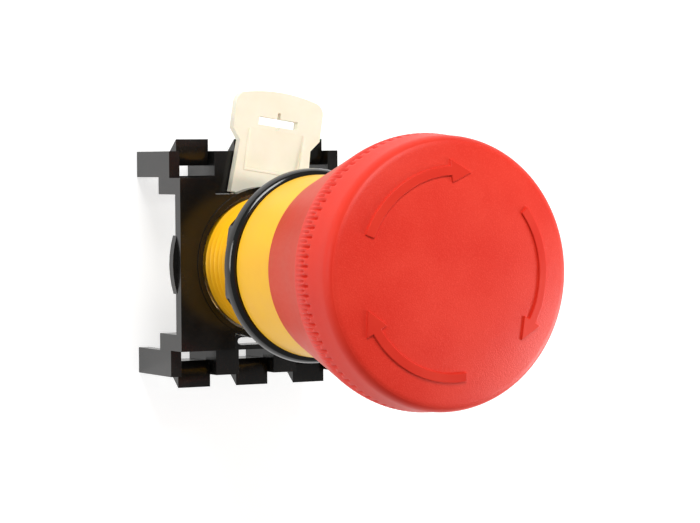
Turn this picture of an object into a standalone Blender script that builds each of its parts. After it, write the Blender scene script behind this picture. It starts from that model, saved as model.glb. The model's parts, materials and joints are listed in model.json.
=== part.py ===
"""Emergency stop button for a 22 mm panel hole: twist-release mushroom head and click-on block holder.

All sizes are millimetres in the code and metres in the scene. +Z is the button's axis, pointing out of
the panel, and +Y points to the locking lever's side. The origin lies on the axis at the panel's front
face, which is the rear face of the gasket.
"""

import math

import bpy
import bmesh
from mathutils import Matrix

MM = 0.001

# Clearances
GAP = 0.3                      # left between pieces that touch on the real object
RUNNING_GAP = 0.35             # radial play round a turning or sliding piece

# Stroke
STROKE = 4.5

# Threaded barrel and bezel
THREAD_R = 10.9                # crest of the 22 mm thread
THREAD_DEPTH = 0.6
THREAD_PITCH = 1.5
THREAD_TOP_Z = -1.0
BARREL_NECK_R = THREAD_R - 1.3
BARREL_BORE_R = BARREL_NECK_R - 0.8
BARREL_INSERT_R = BARREL_BORE_R - GAP
BEZEL_R = THREAD_R + 3.1
BEZEL_TOP_Z = 17.0
BEZEL_WALL = 1.6
CUP_FLOOR_Z = 9.0

# Head
HEAD_R = 20.0                  # largest radius of the mushroom head
HEAD_SEAM_Z = 32.2             # where the cap sits on the skirt
HEAD_WIDEST_Z = 35.0
HEAD_FLANK_H = 4.2             # knurled flank above the widest place
HEAD_FLANK_R = HEAD_R - 0.35   # top of the flank
HEAD_SEAM_R = HEAD_R - 0.45    # top of the skirt's cone
FACE_R = HEAD_R - 1.8          # edge of the domed face, where the shoulder starts
FACE_TOP_Z = 43.9              # middle of the face
FACE_DROP = 1.47               # from the middle to the edge
CAP_WALL = 2.2
CAP_ROOF_Z = FACE_TOP_Z - FACE_DROP - CAP_WALL

ARROW_COUNT = 3
ARROW_R = FACE_R - 3.6         # middle of the curved bar
ARROW_W = 1.35
ARROW_HEAD_W = 3.4
ARROW_TIP_DEG = 78.6
ARROW_HEAD_DEG = 13.0
ARROW_SWEEP_DEG = 79.0         # tip to tail
ARROW_RAISE = 0.3
ARROW_ROOT = 0.6               # depth of the arrow's root in the cap

# Skirt
SKIRT_EDGE_Z = 14.25           # lower edge of the skirt at rest
SKIRT_LIP = 0.4                # wall at that edge
SKIRT_WEB_T = 1.5
SKIRT_WEB_Z = BEZEL_TOP_Z + STROKE + 2.5
SPIGOT_H = 3.0                 # what the skirt reaches up into the cap
SPIGOT_T = 1.4

# Hub and the pin that holds it to the stem
HUB_R = 6.5
HUB_BOTTOM_Z = SKIRT_WEB_Z + SKIRT_WEB_T + 1.5
PIN_R = 1.0
PIN_Z = HUB_BOTTOM_Z + 3.0

# Gasket, washer and nut
GASKET_R = BEZEL_R + 1.0
GASKET_T = 1.8
SEAT_LOOP_R = GASKET_R - 0.65  # the gasket bears on the panel outside this radius
WASHER_W = 1.4
WASHER_T = 0.8
NUT_SIDES = 8
NUT_WALL = 1.8                 # from the bore to a flat
NUT_T = 2.2
NUT_FLAT_DEG = 176.5           # direction that one flat faces

# Block holder's plate and the locking lever behind it
PLATE_FRONT_Z = -15.6
PLATE_T = 1.9
LEVER_T = 1.45
LEVER_FRONT_Z = PLATE_FRONT_Z - PLATE_T - GAP
LEVER_REAR_Z = LEVER_FRONT_Z - LEVER_T
LEVER_RING_R = THREAD_R + 1.1
LEVER_REST_DEG = -8.7          # tilt from +Y at rest
LEVER_SWING_DEG = 28.0         # from locked, at rest, to unlocked

# Lugs at the barrel's end, behind the lever's ring
LUG_TOP_Z = LEVER_REAR_Z - RUNNING_GAP
LUG_T = 1.7
LUG_HALF_DEG = 13.0
LUG_SIDES_DEG = (0.0, 180.0)
BARREL_END_Z = LUG_TOP_Z - LUG_T - 0.7

# Holder (three contact block positions side by side)
BAY_PITCH = 10.2
BAY_COUNT = 3
FRAME_W = BAY_COUNT * BAY_PITCH - 0.6
PLATE_HALF_H = LEVER_RING_R - 1.0
PAD_HALF_H = PLATE_HALF_H + 2.6
PAD_TOP_W = 6.15
PAD_BOTTOM_W = 9.4
COLLAR_WALL = 0.85
COLLAR_RAISE = 0.15
RAIL_FRONT_Z = LUG_TOP_Z
RAIL_REAR_Z = RAIL_FRONT_Z - 4.1
RAIL_IN = PLATE_HALF_H         # inner edge of the two rails, from the middle
FIN_IN = PAD_HALF_H + 0.3
BAR_OUT = FIN_IN + 3.9         # outer edge of the posts and fins
POST_W = 4.0
FIN_W = 1.8
FIN_REAR_Z = RAIL_FRONT_Z - 12.4
HOOK_W = 5.6
HOOK_FRONT_Z = RAIL_FRONT_Z - 1.7
HOOK_REAR_Z = RAIL_FRONT_Z - 8.0
HOOK_TIP = BAR_OUT + 1.9
HOOK_IN = FIN_IN + 1.6
HOOK_CHAMFER = 1.0
SKIN_REAR_Z = HOOK_REAR_Z - 0.4
SKIN_T = 1.2
BULGE_R = 15.7                 # curved swelling behind each side of the plate
BULGE_T = 0.9
GUARD_WALL = 0.9               # curved walls that guide the lever's ring
GUARD_SPAN_DEG = 34.0
GUARD_LIP = 0.6
GUARD_LIP_T = 0.7
SIGHT_HOLE_W = 5.8
SIGHT_HOLE_H = 1.2
SIGHT_HOLE_X = -0.4
SIGHT_HOLE_Y = -RAIL_IN - 1.55

# Lever's handle, from the axis outwards
LEVER_NECK_TOP = BAR_OUT + 1.0
LEVER_HEAD_START = BAR_OUT + 2.8
LEVER_TIP_R = BAR_OUT + 9.5
LEVER_NECK_HALF_W = 6.35
LEVER_FOOT_HALF_W = 6.8
LEVER_HEAD_HALF_W = 7.8
LEVER_CORNER_R = 1.8
LEVER_SLOT_W = 6.9
LEVER_SLOT_H = 1.3
LEVER_SLOT_POS = LEVER_TIP_R - 4.9
LEVER_PANEL_W = 9.4
LEVER_PANEL_BOTTOM = LEVER_RING_R + 2.6
LEVER_PANEL_TOP = LEVER_SLOT_POS - 1.4
LEVER_PANEL_DEPTH = 0.4

# Stem
STEM_R = 5.0
STEM_TOP_R = STEM_R - 1.0
STEM_TOP_Z = CAP_ROOF_Z - 2.23
STEM_STEP_Z = HUB_BOTTOM_Z - 1.0
STEM_FLANGE_R = BARREL_BORE_R - 1.2
STEM_FLANGE_T = 1.1
STEM_WAIST_R = STEM_R - 0.4    # between the flange and the journal
CAM_TAPER = 0.2                # latch pin travel for each millimetre of stroke
JOURNAL_R = 3.0
CLIP_GROOVE_R = JOURNAL_R - 0.9

# Latch
LATCH_Z = 0.5
LATCH_PIN_R = 1.2
LATCH_PIN_TIP = STEM_R + 0.45  # distance of the pin's tip from the axis at rest
LATCH_WIRE_R = 0.35
LATCH_PIN_L = BARREL_BORE_R - LATCH_PIN_TIP - 2 * LATCH_WIRE_R - 2 * GAP
LATCH_SPRING_OPENING_DEG = 20.0
CARRIER_BOTTOM_Z = LATCH_Z - 2.9
CARRIER_TOP_Z = LATCH_Z + 2.9
FLANGE_TOP_Z = CARRIER_BOTTOM_Z - 0.8
FLANGE_LOW_Z = FLANGE_TOP_Z - STEM_FLANGE_T

# Bush, seal and retaining ring, one on the other in the bezel's cup
CUP_INSERT_R = BEZEL_R - BEZEL_WALL - GAP
BUSH_BOTTOM_Z = CARRIER_TOP_Z + 0.4
BUSH_FLANGE_Z = CUP_FLOOR_Z + GAP
BUSH_FLANGE_T = 1.5
SEAL_Z = BUSH_FLANGE_Z + BUSH_FLANGE_T + GAP
SEAL_T = 3.2
SEAL_FLOOR_T = 1.2
RING_Z = SEAL_Z + SEAL_T + GAP
RING_T = 0.8
RING_W = 2.0
RING_OPENING_DEG = 30.0

# Springs
RETURN_WIRE_R = 0.45
RETURN_COIL_R = BARREL_BORE_R - 2.2
RETURN_TURNS = 5.0
TORSION_WIRE_R = 0.5
TORSION_COIL_R = STEM_R + 2.5
TORSION_TURNS = 2.5
TORSION_PITCH = TORSION_WIRE_R * 2.2

# Lower bush, pusher and clip
LOWER_BUSH_T = 5.3
LOWER_BUSH_Z = BARREL_END_Z + 0.2
LOWER_BUSH_TOP_Z = LOWER_BUSH_Z + LOWER_BUSH_T
ACTUATOR_R = BARREL_INSERT_R
ACTUATOR_TOP_Z = BARREL_END_Z - 1.0
ACTUATOR_T = 2.8
ACTUATOR_RIB_W = 2.0
CLIP_R = JOURNAL_R + 1.6
CLIP_T = 0.7
CLIP_OPENING_DEG = 70.0

# Mesh fineness
ROUND = 48
SMALL_ROUND = 28
BORE_ROUND = 14
WIRE_ROUND = 6
COIL_STEPS = 16
SOFT_STEPS = 3

RED = (0.78, 0.06, 0.035)
DULL_RED = (0.70, 0.075, 0.045)
YELLOW = (0.93, 0.50, 0.02)
BLACK = (0.018, 0.017, 0.016)
RUBBER = (0.012, 0.012, 0.012)
CREAM = (0.83, 0.76, 0.62)
STEEL = (0.62, 0.63, 0.64)
GREY = (0.22, 0.22, 0.23)
WHITE = (0.80, 0.80, 0.78)


def clear_scene():
    """Remove every object of the open scene."""
    for item in list(bpy.data.objects):
        bpy.data.objects.remove(item, do_unlink=True)


def make_material(name, colour, roughness, metallic=0.0):
    """Principled material of one colour."""
    material = bpy.data.materials.new(name)
    material.use_nodes = True
    shader = material.node_tree.nodes["Principled BSDF"]
    shader.inputs["Base Color"].default_value = (*colour, 1.0)
    shader.inputs["Roughness"].default_value = roughness
    shader.inputs["Metallic"].default_value = metallic
    return material


def finish_mesh(bm, name):
    """Turn a bmesh into a mesh whose faces point outwards."""
    bmesh.ops.recalc_face_normals(bm, faces=bm.faces)
    mesh = bpy.data.meshes.new(name)
    bm.to_mesh(mesh)
    bm.free()
    return mesh


def add_object(name, mesh, material=None, place=None):
    """Link a mesh as an object, smooth where it is round."""
    mesh.shade_smooth()
    mesh.set_sharp_from_angle(angle=math.radians(32))
    item = bpy.data.objects.new(name, mesh)
    bpy.context.scene.collection.objects.link(item)
    if material:
        mesh.materials.clear()
        mesh.materials.append(material)
    if place:
        item.matrix_world = place
    return item


def polar(radius, degrees):
    """Point on a circle round the axis."""
    angle = math.radians(degrees)
    return radius * math.cos(angle), radius * math.sin(angle)


def arc(cx, cy, radius, start_deg, end_deg, steps):
    """Points along an arc, both ends included."""
    turn = (end_deg - start_deg) / steps
    points = []
    for i in range(steps + 1):
        x, y = polar(radius, start_deg + i * turn)
        points.append((cx + x, cy + y))
    return points


def lathe(name, outline, sides):
    """Mesh of a closed outline of (radius, z) turned round Z; a radius may be a function of the angle."""
    bm = bmesh.new()
    rings = []
    for radius, z in outline:
        if radius == 0:
            rings.append([bm.verts.new((0.0, 0.0, z * MM))])
            continue
        ring = []
        for i in range(sides):
            angle = 2 * math.pi * i / sides
            r = radius(angle) if callable(radius) else radius
            ring.append(bm.verts.new((r * MM * math.cos(angle), r * MM * math.sin(angle), z * MM)))
        rings.append(ring)
    for one, two in zip(rings, rings[1:] + rings[:1]):
        for i in range(sides):
            j = i + 1
            corners = [one[i % len(one)], one[j % len(one)], two[j % len(two)], two[i % len(two)]]
            corners = list(dict.fromkeys(corners))
            if len(corners) > 2:
                bm.faces.new(corners)
    return finish_mesh(bm, name)


def prism(name, outline, low, high, holes=()):
    """Mesh of an outline in the XY plane between two heights, with optional holes of the same kind."""
    bm = bmesh.new()
    edges = []
    for loop in (outline, *holes):
        verts = [bm.verts.new((x * MM, y * MM, low * MM)) for x, y in loop]
        for one, two in zip(verts, verts[1:] + verts[:1]):
            edges.append(bm.edges.new((one, two)))
    bmesh.ops.triangle_fill(bm, use_beauty=True, use_dissolve=True, edges=edges)
    grown = bmesh.ops.extrude_face_region(bm, geom=bm.faces[:])
    moved = [item for item in grown["geom"] if isinstance(item, bmesh.types.BMVert)]
    bmesh.ops.translate(bm, verts=moved, vec=(0.0, 0.0, (high - low) * MM))
    return finish_mesh(bm, name)


def box(name, x, y, z):
    """Mesh of a box given its three (low, high) spans."""
    outline = [(x[0], y[0]), (x[1], y[0]), (x[1], y[1]), (x[0], y[1])]
    return prism(name, outline, z[0], z[1])


def coil(name, coil_r, wire_r, low, high, turns, steps):
    """Mesh of a round wire wound round Z, with flat ends."""
    bm = bmesh.new()
    rings = []
    count = int(turns * steps)
    for i in range(count + 1):
        share = i / count
        angle = 2 * math.pi * turns * share
        ring = []
        for k in range(WIRE_ROUND):
            around = 2 * math.pi * k / WIRE_ROUND
            r = (coil_r + wire_r * math.cos(around)) * MM
            z = (low + (high - low) * share + wire_r * math.sin(around)) * MM
            ring.append(bm.verts.new((r * math.cos(angle), r * math.sin(angle), z)))
        rings.append(ring)
    for one, two in zip(rings, rings[1:]):
        for k in range(WIRE_ROUND):
            j = (k + 1) % WIRE_ROUND
            bm.faces.new((one[k], one[j], two[j], two[k]))
    bm.faces.new(rings[0])
    bm.faces.new(rings[-1])
    return finish_mesh(bm, name)


def combine(target, mesh, operation, place=None):
    """Add a mesh to an object, or take it away, and keep the result as the object's mesh."""
    tool = add_object("tool", mesh, place=place)
    modifier = target.modifiers.new("combine", "BOOLEAN")
    modifier.operation = operation
    modifier.solver = "EXACT"
    modifier.object = tool
    bpy.context.view_layer.update()
    seen = target.evaluated_get(bpy.context.evaluated_depsgraph_get())
    result = bpy.data.meshes.new_from_object(seen)
    target.modifiers.clear()
    spent = target.data
    name = spent.name
    target.data = result
    bpy.data.meshes.remove(spent)
    result.name = name
    bpy.data.objects.remove(tool, do_unlink=True)
    bpy.data.meshes.remove(mesh)


def turned(degrees, axis="Z"):
    """Rotation matrix about a world axis."""
    return Matrix.Rotation(math.radians(degrees), 4, axis)


def lying(z, degrees=90):
    """Place of something made along Z that lies across the axis at a height."""
    return Matrix.Translation((0, 0, z * MM)) @ turned(degrees, "Y")


# --- Mushroom head -------------------------------------------------------------------------------


def arrow_outline(tip_deg):
    """Clockwise arrow: a curved bar with a triangular head, as a loop in the XY plane."""
    neck_deg = tip_deg + ARROW_HEAD_DEG
    tail_deg = tip_deg + ARROW_SWEEP_DEG
    steps = 9
    points = [polar(ARROW_R, tip_deg), polar(ARROW_R + ARROW_HEAD_W / 2, neck_deg)]
    points += arc(0, 0, ARROW_R + ARROW_W / 2, neck_deg, tail_deg, steps)
    points += arc(0, 0, ARROW_R - ARROW_W / 2, tail_deg, neck_deg, steps)
    points.append(polar(ARROW_R - ARROW_HEAD_W / 2, neck_deg))
    return points


def skirt_radius(z):
    """Outer radius of the conical skirt at a height."""
    low_r = BEZEL_R + RUNNING_GAP + SKIRT_LIP
    return low_r + (HEAD_SEAM_R - low_r) * (z - SKIRT_EDGE_Z) / (HEAD_SEAM_Z - SKIRT_EDGE_Z)


def face_z(radius):
    """Height of the domed face at a radius."""
    return FACE_TOP_Z - FACE_DROP * (radius / FACE_R) ** 3


def arrow_mesh(tip_deg):
    """Arrow that follows the domed face and stands a little above it."""
    mesh = prism("arrow", arrow_outline(tip_deg), 0, 1)
    for vertex in mesh.vertices:
        surface = face_z(math.hypot(vertex.co.x, vertex.co.y) / MM)
        step = ARROW_RAISE if vertex.co.z > MM / 2 else -ARROW_ROOT
        vertex.co.z = (surface + step) * MM
    return mesh


def make_cap(material):
    """Red cap: knob rim, domed face with three turning arrows, and the hub below it."""
    inner_r = HEAD_R - CAP_WALL
    outline = [
        (skirt_radius(HEAD_SEAM_Z), HEAD_SEAM_Z),
        (HEAD_R - 0.1, HEAD_WIDEST_Z - 1.3),
        (HEAD_R, HEAD_WIDEST_Z),
        (HEAD_FLANK_R, HEAD_WIDEST_Z + HEAD_FLANK_H),
    ]
    outline += shoulder_points()
    outline += [(FACE_R * share, face_z(FACE_R * share)) for share in (0.88, 0.75, 0.55, 0.3, 0.0)]
    outline += [
        (0, STEM_TOP_Z + GAP),
        (STEM_TOP_R + GAP, STEM_TOP_Z + GAP),
        (STEM_TOP_R + GAP, HUB_BOTTOM_Z),
        (HUB_R, HUB_BOTTOM_Z),
        (HUB_R, CAP_ROOF_Z + 1.0),
        (inner_r - 1.5, CAP_ROOF_Z),
        (inner_r, CAP_ROOF_Z - 1.5),
        (inner_r, HEAD_SEAM_Z),
    ]
    cap = add_object("mushroom_cap", lathe("mushroom_cap", outline, ROUND), material)
    for i in range(ARROW_COUNT):
        tip = ARROW_TIP_DEG + 360.0 / ARROW_COUNT * i
        combine(cap, arrow_mesh(tip), "UNION")
    bore = lathe("pin_bore", rod_outline(PIN_R + GAP, -HUB_R - 1, HUB_R + 1), BORE_ROUND)
    combine(cap, bore, "DIFFERENCE", lying(PIN_Z))
    return cap


def shoulder_points():
    """Soft shoulder from the knurled flank up to the edge of the face."""
    slope = 3 * FACE_DROP / FACE_R
    start = (HEAD_FLANK_R - 0.05, HEAD_WIDEST_Z + HEAD_FLANK_H + 1.4)
    corner_r = HEAD_FLANK_R - 0.2
    corner = (corner_r, face_z(FACE_R) - slope * (corner_r - FACE_R))
    end = (FACE_R, face_z(FACE_R))
    steps = SOFT_STEPS + 2
    points = []
    for i in range(steps + 1):
        t = i / steps
        r, z = ((1 - t) ** 2 * a + 2 * t * (1 - t) * b + t * t * c for a, b, c in zip(start, corner, end))
        points.append((r, z))
    return points


def rod_outline(radius, low, high):
    """Outline of a plain rod on the axis."""
    return [(0, low), (radius, low), (radius, high), (0, high)]


def make_skirt(material):
    """Conical skirt that closes the head from below and slides over the bezel."""
    bore_r = BEZEL_R + RUNNING_GAP
    spigot_r = HEAD_R - CAP_WALL - GAP
    seam_z = HEAD_SEAM_Z - GAP
    outline = [
        (bore_r, SKIRT_EDGE_Z),
        (skirt_radius(SKIRT_EDGE_Z), SKIRT_EDGE_Z),
        (skirt_radius(seam_z), seam_z),
        (spigot_r, seam_z),
        (spigot_r, seam_z + SPIGOT_H),
        (spigot_r - SPIGOT_T, seam_z + SPIGOT_H),
        (spigot_r - SPIGOT_T, SKIRT_WEB_Z + SKIRT_WEB_T),
        (STEM_R + RUNNING_GAP, SKIRT_WEB_Z + SKIRT_WEB_T),
        (STEM_R + RUNNING_GAP, SKIRT_WEB_Z),
        (bore_r, SKIRT_WEB_Z),
    ]
    return add_object("cap_skirt", lathe("cap_skirt", outline, ROUND), material)


def make_cap_pin(material):
    """Cross pin that holds the cap's hub to the stem."""
    mesh = lathe("cap_pin", rod_outline(PIN_R, -HUB_R, HUB_R), BORE_ROUND)
    return add_object("cap_pin", mesh, material, lying(PIN_Z))


def make_stem(material):
    """Stem with its cam taper, spring flange and lower journal."""
    cam_low = LATCH_Z - LATCH_PIN_R
    cam_r = LATCH_PIN_TIP - RUNNING_GAP
    groove_r = cam_r - CAM_TAPER * STROKE
    groove_top = LATCH_Z + LATCH_PIN_R + STROKE + 0.2
    journal_top = LOWER_BUSH_TOP_Z + STROKE + 1.5
    clip_low, clip_high = clip_groove()
    outline = [
        (0, clip_low - 0.4),
        (JOURNAL_R, clip_low - 0.4),
        (JOURNAL_R, clip_low),
        (CLIP_GROOVE_R, clip_low),
        (CLIP_GROOVE_R, clip_high),
        (JOURNAL_R, clip_high),
        (JOURNAL_R, journal_top),
        (STEM_WAIST_R, journal_top + 1.0),
        (STEM_WAIST_R, FLANGE_LOW_Z),
        (STEM_FLANGE_R, FLANGE_LOW_Z),
        (STEM_FLANGE_R, FLANGE_TOP_Z),
        (cam_r, FLANGE_TOP_Z),
        (cam_r, cam_low),
        (groove_r, cam_low + STROKE),
        (groove_r, groove_top),
        (STEM_R, groove_top + 0.5),
        (STEM_R, STEM_STEP_Z),
        (STEM_TOP_R, STEM_STEP_Z),
        (STEM_TOP_R, STEM_TOP_Z),
        (0, STEM_TOP_Z),
    ]
    stem = add_object("stem", lathe("stem", outline, SMALL_ROUND), material)
    bore = lathe("pin_bore", rod_outline(PIN_R + GAP, -HUB_R, HUB_R), BORE_ROUND)
    combine(stem, bore, "DIFFERENCE", lying(PIN_Z))
    return stem


# --- Bezel, barrel and what fastens it -----------------------------------------------------------


def thread_rows():
    """Rows of the helical thread: the radius follows a ridge that climbs one pitch each turn."""
    bottom = PLATE_FRONT_Z + 0.4
    step = THREAD_PITCH / 4
    count = int((THREAD_TOP_Z - bottom) / step)
    rows = []
    for i in range(count + 1):
        z = bottom + i * step
        fade = min(1.0, min(i, count - i) / 2)

        def radius(angle, z=z, fade=fade):
            phase = (z / THREAD_PITCH - angle / (2 * math.pi)) % 1.0
            return THREAD_R - THREAD_DEPTH * (1 - fade * abs(2 * phase - 1))

        rows.append((radius, z))
    return rows


def make_barrel(material):
    """Yellow bezel and threaded barrel in one moulding, with two bayonet lugs near its end."""
    root_r = THREAD_R - THREAD_DEPTH
    seat_z = GASKET_T + GAP
    shoulder_z = PLATE_FRONT_Z - PLATE_T
    outline = [
        (BARREL_BORE_R, BARREL_END_Z),
        (BARREL_NECK_R, BARREL_END_Z),
        (BARREL_NECK_R, shoulder_z),
        (root_r + 0.2, shoulder_z + 0.1),
        (root_r + 0.2, PLATE_FRONT_Z),
    ]
    outline += thread_rows()
    outline += [
        (root_r, seat_z),
        (BEZEL_R, seat_z),
        (BEZEL_R, BEZEL_TOP_Z - 0.5),
        (BEZEL_R - 0.5, BEZEL_TOP_Z),
        (BEZEL_R - BEZEL_WALL, BEZEL_TOP_Z),
        (BEZEL_R - BEZEL_WALL, CUP_FLOOR_Z),
        (BARREL_BORE_R, CUP_FLOOR_Z),
    ]
    barrel = add_object("bezel_barrel", lathe("bezel_barrel", outline, ROUND), material)
    for middle in LUG_SIDES_DEG:
        start, end = middle - LUG_HALF_DEG, middle + LUG_HALF_DEG
        outer = arc(0, 0, THREAD_R, start, end, 4)
        inner = arc(0, 0, BARREL_NECK_R - 0.4, end, start, 4)
        combine(barrel, prism("lug", outer + inner, LUG_TOP_Z - LUG_T, LUG_TOP_Z), "UNION")
    return barrel


def make_gasket(material):
    """Rubber ring with a rounded front edge between bezel and panel."""
    inner_r = THREAD_R - THREAD_DEPTH + RUNNING_GAP
    soft = GASKET_T * 0.6
    outline = [(inner_r, 0), (SEAT_LOOP_R, 0), (GASKET_R - 0.1, 0), (GASKET_R, 0.15)]
    outline += arc(GASKET_R - soft, GASKET_T - soft, soft, 0, 90, SOFT_STEPS)
    outline.append((inner_r, GASKET_T))
    return add_object("panel_gasket", lathe("panel_gasket", outline, ROUND), material)


def make_washer(material):
    """Steel thrust washer in front of the nut."""
    inner_r = THREAD_R + GAP
    outer_r = inner_r + WASHER_W
    low = -GAP - WASHER_T
    outline = [(inner_r, low), (outer_r, low), (outer_r, -GAP), (inner_r, -GAP)]
    return add_object("thrust_washer", lathe("thrust_washer", outline, SMALL_ROUND), material)


def make_nut(material):
    """Octagonal plastic panel nut with slightly broken corners."""
    front = -2 * GAP - WASHER_T
    rear = front - NUT_T
    half = 180.0 / NUT_SIDES
    bore_r = THREAD_R + GAP
    corner_r = (bore_r + NUT_WALL) / math.cos(math.radians(half)) - 0.12
    outline = []
    for i in range(NUT_SIDES):
        corner = NUT_FLAT_DEG + half + i * 2 * half
        outline.append(polar(corner_r, corner - 1.2))
        outline.append(polar(corner_r, corner + 1.2))
    bore = arc(0, 0, bore_r, 0, 360 - 360 / ROUND, ROUND - 1)
    return add_object("panel_nut", prism("panel_nut", outline, rear, front, [bore]), material)


# --- Inside the barrel ---------------------------------------------------------------------------


def make_guide_bush(material):
    """Upper bush that guides the stem in the bezel's cup."""
    inner_r = STEM_R + RUNNING_GAP
    outline = [
        (inner_r, BUSH_BOTTOM_Z),
        (BARREL_INSERT_R, BUSH_BOTTOM_Z),
        (BARREL_INSERT_R, BUSH_FLANGE_Z),
        (CUP_INSERT_R, BUSH_FLANGE_Z),
        (CUP_INSERT_R, BUSH_FLANGE_Z + BUSH_FLANGE_T),
        (inner_r, BUSH_FLANGE_Z + BUSH_FLANGE_T),
    ]
    return add_object("guide_bush", lathe("guide_bush", outline, SMALL_ROUND), material)


def make_seal(material):
    """Rubber lip seal that wipes the stem above the bush."""
    inner_r = STEM_R + RUNNING_GAP
    outer_r = CUP_INSERT_R
    floor_z = SEAL_Z + SEAL_FLOOR_T
    top_z = SEAL_Z + SEAL_T
    outline = [
        (inner_r, SEAL_Z),
        (outer_r, SEAL_Z),
        (outer_r, top_z),
        (outer_r - 1.2, top_z),
        (outer_r - 2.2, floor_z),
        (inner_r + 1.85, floor_z),
        (inner_r + 0.6, top_z),
        (inner_r, top_z),
    ]
    return add_object("lip_seal", lathe("lip_seal", outline, SMALL_ROUND), material)


def c_ring_outline(inner_r, outer_r, opening_deg, middle_deg, steps):
    """Open flat ring as a loop in the XY plane."""
    start = middle_deg + opening_deg / 2
    end = middle_deg + 360 - opening_deg / 2
    return arc(0, 0, outer_r, start, end, steps) + arc(0, 0, inner_r, end, start, steps)


def make_retaining_ring(material):
    """Open steel ring that keeps seal and bush in the cup."""
    inner_r = CUP_INSERT_R - RING_W
    outline = c_ring_outline(inner_r, CUP_INSERT_R, RING_OPENING_DEG, 90, SMALL_ROUND)
    return add_object("retaining_ring", prism("retaining_ring", outline, RING_Z, RING_Z + RING_T), material)


def make_torsion_spring(material):
    """Spring that turns the head back after a twist."""
    low = RING_Z + RING_T + GAP + TORSION_WIRE_R
    high = low + TORSION_TURNS * TORSION_PITCH
    mesh = coil("torsion_spring", TORSION_COIL_R, TORSION_WIRE_R, low, high, TORSION_TURNS, COIL_STEPS)
    return add_object("torsion_spring", mesh, material)


def make_carrier(material):
    """Fixed ring in the barrel that carries the two latch pins and their spring."""
    inner_r = LATCH_PIN_TIP + 0.05
    outer_r = BARREL_INSERT_R
    groove_r = LATCH_PIN_TIP + LATCH_PIN_L + 0.1
    outline = [
        (inner_r, CARRIER_BOTTOM_Z),
        (outer_r, CARRIER_BOTTOM_Z),
        (outer_r, LATCH_Z - LATCH_PIN_R - GAP),
        (groove_r, LATCH_Z - LATCH_PIN_R - GAP),
        (groove_r, LATCH_Z + LATCH_PIN_R + GAP),
        (outer_r, LATCH_Z + LATCH_PIN_R + GAP),
        (outer_r, CARRIER_TOP_Z),
        (inner_r, CARRIER_TOP_Z),
    ]
    carrier = add_object("latch_carrier", lathe("latch_carrier", outline, SMALL_ROUND), material)
    bore = lathe("pin_way", rod_outline(LATCH_PIN_R + GAP, -outer_r - 1, outer_r + 1), BORE_ROUND)
    combine(carrier, bore, "DIFFERENCE", lying(LATCH_Z))
    return carrier


def make_latch_pins(material):
    """Two radial pins that drop onto the stem's taper, one each side."""
    outline = [
        (0, LATCH_PIN_TIP),
        (LATCH_PIN_R * 0.6, LATCH_PIN_TIP),
        (LATCH_PIN_R, LATCH_PIN_TIP + 0.5),
        (LATCH_PIN_R, LATCH_PIN_TIP + LATCH_PIN_L),
        (0, LATCH_PIN_TIP + LATCH_PIN_L),
    ]
    for name, turn in (("latch_pin_left", -90), ("latch_pin_right", 90)):
        mesh = lathe(name, outline, BORE_ROUND)
        add_object(name, mesh, material, lying(LATCH_Z, turn))


def make_latch_spring(material):
    """Open wire ring that presses both latch pins inwards."""
    ring_r = LATCH_PIN_TIP + LATCH_PIN_L + GAP + LATCH_WIRE_R
    turns = 1 - LATCH_SPRING_OPENING_DEG / 360
    mesh = coil("latch_spring", ring_r, LATCH_WIRE_R, LATCH_Z, LATCH_Z, turns, SMALL_ROUND)
    return add_object("latch_spring", mesh, material, turned(90 + LATCH_SPRING_OPENING_DEG / 2))


def make_return_spring(material):
    """Compression spring that lifts the stem."""
    low = LOWER_BUSH_TOP_Z + GAP + RETURN_WIRE_R
    high = FLANGE_LOW_Z - GAP - RETURN_WIRE_R
    mesh = coil("return_spring", RETURN_COIL_R, RETURN_WIRE_R, low, high, RETURN_TURNS, COIL_STEPS)
    return add_object("return_spring", mesh, material)


def make_lower_bush(material):
    """Bush at the barrel's end that guides the stem and seats the return spring."""
    inner_r = JOURNAL_R + RUNNING_GAP
    outline = [
        (inner_r, LOWER_BUSH_Z),
        (BARREL_INSERT_R, LOWER_BUSH_Z),
        (BARREL_INSERT_R, LOWER_BUSH_TOP_Z),
        (inner_r, LOWER_BUSH_TOP_Z),
    ]
    return add_object("lower_bush", lathe("lower_bush", outline, SMALL_ROUND), material)


def make_actuator(material):
    """White pusher on the stem's end that presses the contact blocks."""
    bottom = ACTUATOR_TOP_Z - ACTUATOR_T
    inner_r = JOURNAL_R + RUNNING_GAP
    outline = [
        (inner_r, bottom),
        (ACTUATOR_R - 0.5, bottom),
        (ACTUATOR_R, bottom + 0.5),
        (ACTUATOR_R, ACTUATOR_TOP_Z),
        (inner_r, ACTUATOR_TOP_Z),
    ]
    actuator = add_object("actuator", lathe("actuator", outline, SMALL_ROUND), material)
    half = ACTUATOR_RIB_W / 2
    for low, high in ((-ACTUATOR_R + 0.8, -CLIP_R - 0.6), (CLIP_R + 0.6, ACTUATOR_R - 0.8)):
        rib = box("rib", (low, high), (-half, half), (bottom - 1.2, bottom + 0.6))
        combine(actuator, rib, "UNION")
    return actuator


def clip_groove():
    """Lower and upper height of the stem's clip groove."""
    high = ACTUATOR_TOP_Z - ACTUATOR_T - 0.1
    return high - CLIP_T - 2 * GAP, high


def make_clip(material):
    """Open clip that holds the pusher on the stem."""
    low = clip_groove()[0] + GAP
    outline = c_ring_outline(CLIP_GROOVE_R + GAP, CLIP_R, CLIP_OPENING_DEG, -90, 20)
    return add_object("stem_clip", prism("stem_clip", outline, low, low + CLIP_T), material)


# --- Block holder --------------------------------------------------------------------------------


def bay_middles():
    """Middle of each contact block position along X."""
    first = -(BAY_COUNT - 1) / 2 * BAY_PITCH
    return [first + i * BAY_PITCH for i in range(BAY_COUNT)]


def mirrored_span(side, low, high):
    """Span on the upper (1) or lower (-1) side of the middle."""
    return (low, high) if side > 0 else (-high, -low)


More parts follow.
